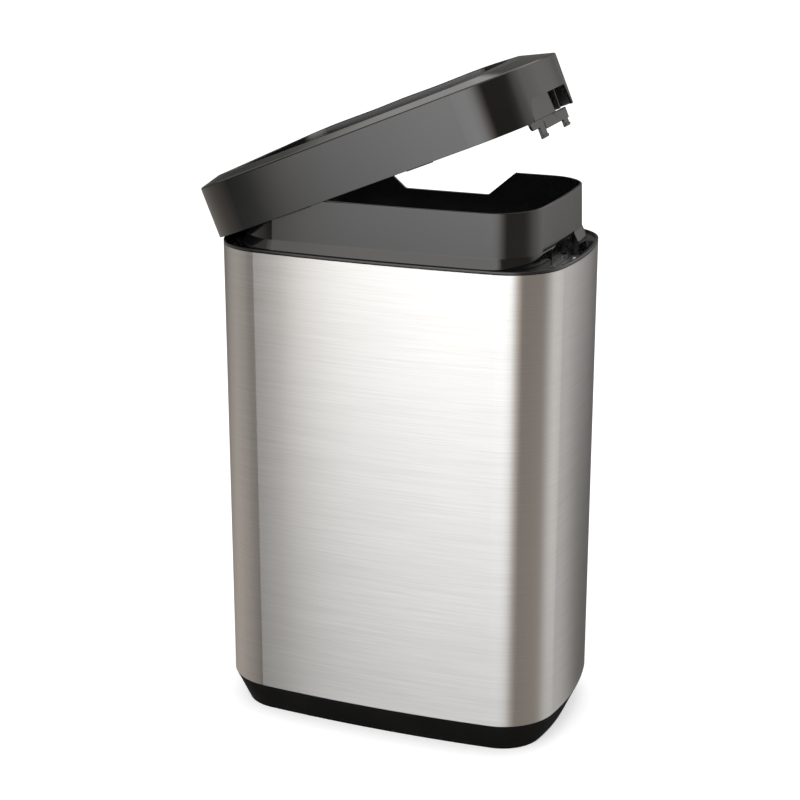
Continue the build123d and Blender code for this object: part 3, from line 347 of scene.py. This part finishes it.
def set_on_back(name, spots, pattern, seed, material):
    """Geometry Nodes set a copy of the pattern on each spot of the back face and join them."""
    tree = bpy.data.node_groups.new(name, "GeometryNodeTree")
    face = tree.interface
    face.new_socket("Geometry", in_out="INPUT", socket_type="NodeSocketGeometry")
    sockets = {
        label: face.new_socket(label, in_out="INPUT", socket_type="NodeSocket" + kind).identifier
        for label, kind in (("Pattern", "Object"), ("Turn", "Float"), ("Seed", "Int"), ("Finish", "Material"))
    }
    face.new_socket("Geometry", in_out="OUTPUT", socket_type="NodeSocketGeometry")
    given = tree.nodes.new("NodeGroupInput")
    shape = tree.nodes.new("GeometryNodeObjectInfo")
    chance = tree.nodes.new("FunctionNodeRandomValue")
    angles = tree.nodes.new("ShaderNodeCombineXYZ")
    place = tree.nodes.new("GeometryNodeInstanceOnPoints")
    real = tree.nodes.new("GeometryNodeRealizeInstances")
    finish = tree.nodes.new("GeometryNodeSetMaterial")
    result = tree.nodes.new("NodeGroupOutput")
    angles.inputs["X"].default_value = -math.pi / 2
    for source, target in (
        (given.outputs["Geometry"], place.inputs["Points"]), (given.outputs["Pattern"], shape.inputs["Object"]),
        (shape.outputs["Geometry"], place.inputs["Instance"]), (given.outputs["Turn"], chance.inputs[3]),
        (given.outputs["Seed"], chance.inputs["Seed"]), (chance.outputs[1], angles.inputs["Y"]),
        (angles.outputs[0], place.inputs["Rotation"]), (place.outputs[0], real.inputs["Geometry"]),
        (real.outputs[0], finish.inputs["Geometry"]),
        (given.outputs["Finish"], finish.inputs["Material"]), (finish.outputs[0], result.inputs[0]),
    ):
        tree.links.new(source, target)
    points = bpy.data.meshes.new(name + "_spots")
    points.from_pydata(spots, [], [])
    holder = bpy.data.objects.new(name + "_spots", points)
    bpy.context.collection.objects.link(holder)
    rule = holder.modifiers.new(name, "NODES")
    rule.node_group = tree
    for label, value in (("Pattern", pattern), ("Turn", math.pi), ("Seed", seed), ("Finish", material)):
        rule[sockets[label]] = value
    seen_by_all = bpy.context.evaluated_depsgraph_get()
    made = bpy.data.meshes.new_from_object(holder.evaluated_get(seen_by_all))
    made.name = name
    bpy.data.objects.remove(holder)
    piece = bpy.data.objects.new(name, made)
    bpy.context.collection.objects.link(piece)
    return piece


zinc, zinc_output = new_material("zinc_plated_steel")  # cool, slightly cloudy grey with a soft shine
zinc_place = add_node(zinc, "ShaderNodeTexCoord")
zinc_cloud = add_node(zinc, "ShaderNodeTexNoise", {}, {"Scale": 1 / zinc_cloud_size, "Detail": 4.0},
                      {"Vector": zinc_place.outputs["Object"]})
zinc_colour = add_node(zinc, "ShaderNodeMix", {"data_type": "RGBA"}, {
    mix_first: linear(zinc_dark), mix_second: linear(zinc_light)}, {mix_share: zinc_cloud.outputs[0]})
zinc_roughness = add_node(zinc, "ShaderNodeMapRange", {}, {"To Min": zinc_shine[0], "To Max": zinc_shine[1]},
                          {"Value": zinc_cloud.outputs[0]})
zinc_surface = add_node(zinc, "ShaderNodeBsdfPrincipled", {}, {"Metallic": 1.0}, {
    "Base Color": zinc_colour.outputs[mix_result], "Roughness": zinc_roughness.outputs[0]})
zinc.node_tree.links.new(zinc_surface.outputs[0], zinc_output.inputs["Surface"])
dress("seam_strip", zinc)
back_face = 120.5 * MM
strip_low, strip_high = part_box("seam_strip")
strip_middle = (strip_low[2] + strip_high[2]) / 2
rivet_pitch = (strip_high[2] - strip_low[2]) / rivet_rows
rivet = fastener("rivet", rivet_radius, rivet_grip, rivet_head, rivet_height, 0, zinc)
rivets = set_on_back("domed_rivets", [
    (side * rivet_spread / 2, back_face, strip_middle + (row - (rivet_rows - 1) / 2) * rivet_pitch)
    for side in (-1, 1) for row in range(rivet_rows)], rivet, rivet_seed, zinc)
bpy.data.objects.remove(rivet)
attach(rivets, "bin")
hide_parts("seam_rivets")

# Base: a tapered tray of black polypropylene with a floor and an upstand that the sheet slips
# over. Four rubber pads sit in it, and four screws at the back hold the sheet to it.
back_screw_radius, back_screw_head, back_screw_height = 1.75 * MM, 3.6 * MM, 2.0 * MM
back_screw_length = 9.0 * MM
back_screw_recess = 1.1 * MM
back_screw_xs = (-112 * MM, -62 * MM, 62 * MM, 112 * MM)
lower_seed = 5
cloud_size, skin_size = 40 * MM, 0.9 * MM
skin_strength = 0.25
duller, glossier = 0.05, 0.04  # how far the roughness strays
# Painted shade: within this reach, reflections in gaps and creases are turned down, fully at the first occlusion
# share and not at all past the second.
painted_shade_reach = 3 * MM
painted_shade_full, painted_shade_none, unshaded_specular = 0.35, 0.8, 0.5  # a gap's reflections fade to none
plastic_ior = 1.5
plastic_tint = (1.0, 0.985, 0.97, 1.0)


def moulded(name, dark, light, roughness, spark=0.03, edge=0.6):
    """Moulded plastic: a faint cloud in its colour, a fine spark-eroded grain, rounded edges and painted shade
    that dims its reflections in gaps and creases.
    """
    plastic, output = new_material(name)
    spot = add_node(plastic, "ShaderNodeTexCoord")
    cloud = add_node(plastic, "ShaderNodeTexNoise", {}, {"Scale": 1 / cloud_size, "Detail": 2.0},
                     {"Vector": spot.outputs["Object"]})
    skin = add_node(plastic, "ShaderNodeTexNoise", {}, {"Scale": 1 / skin_size, "Detail": 2.0},
                    {"Vector": spot.outputs["Object"]})
    colour = add_node(plastic, "ShaderNodeMix", {"data_type": "RGBA"}, {
        mix_first: linear(dark), mix_second: linear(light)}, {mix_share: cloud.outputs[0]})
    shine = add_node(plastic, "ShaderNodeMapRange", {}, {
        "To Min": roughness - glossier, "To Max": roughness + duller}, {"Value": cloud.outputs[0]})
    rounded = add_node(plastic, "ShaderNodeBevel", {"samples": 6}, {"Radius": edge * MM})
    bump = add_node(plastic, "ShaderNodeBump", {}, {"Strength": skin_strength, "Distance": spark * MM},
                    {"Height": skin.outputs[0], "Normal": rounded.outputs[0]})
    # Painted shade: ambient occlusion turns the reflections down in gaps and creases.
    gap = add_node(plastic, "ShaderNodeAmbientOcclusion", {"samples": 8}, {"Distance": painted_shade_reach})
    painted_gap_shade = add_node(plastic, "ShaderNodeMapRange", {}, {
        "From Min": painted_shade_full, "From Max": painted_shade_none, "To Max": unshaded_specular}, {"Value": gap.outputs["AO"]})
    surface = add_node(plastic, "ShaderNodeBsdfPrincipled", {}, {
        "IOR": plastic_ior, "Specular Tint": plastic_tint}, {
        "Base Color": colour.outputs[mix_result], "Roughness": shine.outputs[0], "Normal": bump.outputs[0],
        "Specular IOR Level": painted_gap_shade.outputs[0]})
    plastic.node_tree.links.new(surface.outputs[0], output.inputs["Surface"])
    return plastic


black_pp = moulded("moulded_black_polypropylene", "#0a0a09", "#0d0c0b", 0.5, 0.06)  # satin, nearly black
black_rubber = moulded("moulded_black_rubber", "#161616", "#1d1d1d", 0.75, 0.08)  # dull, soft
dress("base_tray", black_pp)
dress("foot_pads", black_rubber)
screw_low, screw_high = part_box("base_screws")
back_screw = fastener("back_screw", back_screw_radius, back_screw_length, back_screw_head, back_screw_height,
                      back_screw_recess, zinc)
lower_screws = set_on_back("lower_back_screws", [
    (x, back_face, (screw_low[2] + screw_high[2]) / 2) for x in back_screw_xs], back_screw, lower_seed, zinc)
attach(lower_screws, "bin")
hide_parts("base_screws")

# Top frame: a black ABS rim with a narrow lip over the steel's upper edge and a shelf at each end.
# Four screws at the back hold it, and a zinc-plated strike plate is screwed into its right pocket.
black_abs = moulded("moulded_black_abs", "#121212", "#161616", 0.12, edge=0.8)  # glossy, shows the studio softly
upper_seed = 8
screw_low, screw_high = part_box("frame_screws")
upper_screws = set_on_back("upper_back_screws", [
    (x, back_face, (screw_low[2] + screw_high[2]) / 2) for x in back_screw_xs], back_screw, upper_seed, zinc)
bpy.data.objects.remove(back_screw)
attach(upper_screws, "bin")
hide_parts("frame_screws")
dress("top_frame", black_abs)
for name in ("strike_plate", "strike_screws"):
    dress(name, zinc)

# Bag collar: a tall moulded ring that the bag is folded over, with a rounded rim, a flared foot
# and a notch in its back wall. Six screws from below hold it to the frame.
dress("bag_collar", black_abs)
dress("collar_screws", zinc)

# Hinge: two steel brackets under the left shelf carry a steel pin, and two gooseneck arms of steel
# turn on it in white acetal bushes, so the lid swings up to the left.
white_pom = moulded("moulded_white_acetal", "#dcdcd6", "#e6e6e0", 0.35)  # waxy off-white
for name in ("hinge_bracket_front", "hinge_bracket_rear", "hinge_bracket_screws", "hinge_pin",
             "hinge_arm_front", "hinge_arm_rear", "hinge_arm_screws"):
    dress(name, zinc)
dress("hinge_bushes", white_pom)

# Lid: a glossy black ABS hood with a skirt, a slope round its crown and the waste opening in it.
# The moulding has a small radius where the skirt turns into the slope.
lid_turn = math.radians(22.4)
hinge_place = Vector((-190.6, 0, 539.5)) * MM
lid_edge = 550.5 * MM
crease_heights = (56 * MM, 60 * MM)
crease_radius = 1.6 * MM
least_turn = math.radians(50)
round_segments = 4
flat_turn = math.radians(0.05)
merge_distance = 0.002 * MM
least_sum = 0.5  # of the corner normals round a point, below which they say nothing
level = Matrix.Translation(hinge_place) @ Matrix.Rotation(lid_turn, 4, "Y") @ Matrix.Translation(-hinge_place)


def rounded(node, name, body, material, radius, chosen):
    """A copy of a CAD piece with its chosen edges rounded. The rest keeps the CAD's shading."""
    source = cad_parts[node].data
    mesh = bmesh.new()
    mesh.from_mesh(source)
    kept = mesh.loops.layers.float_vector.new("cad_normal")
    for face in mesh.faces:
        for corner, index in zip(face.loops, source.polygons[face.index].loop_indices):
            corner[kept] = source.corner_normals[index].vector
        face.material_index = 0
    bmesh.ops.remove_doubles(mesh, verts=mesh.verts, dist=merge_distance)
    flat = [edge for edge in mesh.edges if edge.is_manifold and edge.calc_face_angle() < flat_turn]
    bmesh.ops.dissolve_edges(mesh, edges=flat, use_verts=False, use_face_split=False)
    edges = [edge for edge in mesh.edges if edge.is_manifold
             and edge.calc_face_angle_signed(0) > least_turn and chosen(edge)]
    bmesh.ops.bevel(mesh, geom=edges, offset=radius, segments=round_segments, profile=0.5, affect="EDGES",
                    clamp_overlap=False, material=1)
    mesh.normal_update()
    normals = []
    for face in mesh.faces:
        for corner in face.loops:
            beside = [corner] if face.material_index == 0 else [
                other for other in corner.vert.link_loops if other.face.material_index == 0]
            total = sum((other[kept] for other in beside), Vector())
            normals.append((total if total.length > least_sum else corner.vert.normal).normalized())
    for face in mesh.faces:
        face.material_index = 0
        face.smooth = True
    data = bpy.data.meshes.new(name)
    mesh.loops.layers.float_vector.remove(kept)
    mesh.to_mesh(data)
    mesh.free()
    data.normals_split_custom_set(normals)
    data.materials.append(material)
    piece = bpy.data.objects.new(name, data)
    bpy.context.collection.objects.link(piece)
    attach(piece, body)
    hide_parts(node)


def on_crease(edge):
    """Whether an edge is where the skirt turns into the slope, told with the lid level."""
    return all(crease_heights[0] < (level @ v.co).z - lid_edge < crease_heights[1] for v in edge.verts)


rounded("lid_shell", "hood_moulding", "lid", black_abs, crease_radius, on_crease)
dress("lid_bumpers", black_rubber)

# Opening liner: a moulded wall round the waste opening that hangs inside the hood, screwed to it
# from below through four tabs.
dress("opening_liner", black_abs)
dress("liner_screws", zinc)

# Grip pocket: the closed recess behind the finger window, a darker, duller moulding with ribs,
# screwed up under the hood. Its divider leans with the window, and its wall ends at the skirt's
# edge, so the CAD piece is copied and drawn out to that.
pin_rise = 27 * MM
divider_sides = (3 * MM, 5 * MM)
divider_low, divider_high = 13 * MM, 9 * MM
pocket_rise, pocket_drop = 3 * MM, 2.4 * MM
near = 0.05 * MM


def drawn_out(node, name, body, material, shift):
    """A copy of a CAD piece whose points move by a rule, given with the lid level."""
    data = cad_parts[node].data.copy()
    data.name = name
    for vertex in data.vertices:
        place = level @ vertex.co
        vertex.co = level.inverted() @ (place + shift(place))
    data.materials.clear()
    data.materials.append(material)
    piece = bpy.data.objects.new(name, data)
    bpy.context.collection.objects.link(piece)
    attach(piece, body)
    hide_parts(node)


def pocket_shift(place):
    """The divider moves back, more at its foot, and the lower edge moves down."""
    up = min(max((place.z - lid_edge) / pin_rise, 0), 1)
    back = min(abs(place.y - side) for side in divider_sides) < near
    low = abs(place.z - lid_edge - pocket_rise) < near
    return Vector((0, (divider_low + (divider_high - divider_low) * up) * back, -pocket_drop * low))


dark_abs = moulded("moulded_dark_abs", "#0e0e0d", "#121211", 0.4)  # dark, its shine broken by the grain
drawn_out("grip_pocket", "finger_pocket", "lid", dark_abs, pocket_shift)
dress("grip_screws", zinc)

# Latch: press panel, plate and two hooked prongs in one moulding, on a steel pin. A leaf spring
# pushes the panel out. The panel's rear edge leans with the window, and the plate's rear corner
# stands just under the skirt.
panel_side = 2 * MM
panel_low, panel_high = 11 * MM, 6 * MM
corner_rise, corner_drop = 2 * MM, 2.4 * MM


def latch_shift(place):
    """The panel's rear side moves back, more at its foot, and the plate's rear corner moves down."""
    up = min(max((place.z - lid_edge) / pin_rise, 0), 1)
    back = abs(place.y - panel_side) < near
    low = abs(place.z - lid_edge - corner_rise) < near
    return Vector((0, (panel_low + (panel_high - panel_low) * up) * back, -corner_drop * low))


latch_abs = moulded("moulded_black_abs_latch", "#121212", "#161616", 0.14, edge=3.2)  # glossy, soft dark edges
drawn_out("latch_plate", "press_latch", "latch", latch_abs, latch_shift)
for name in ("latch_pin", "latch_spring"):
    dress(name, zinc)
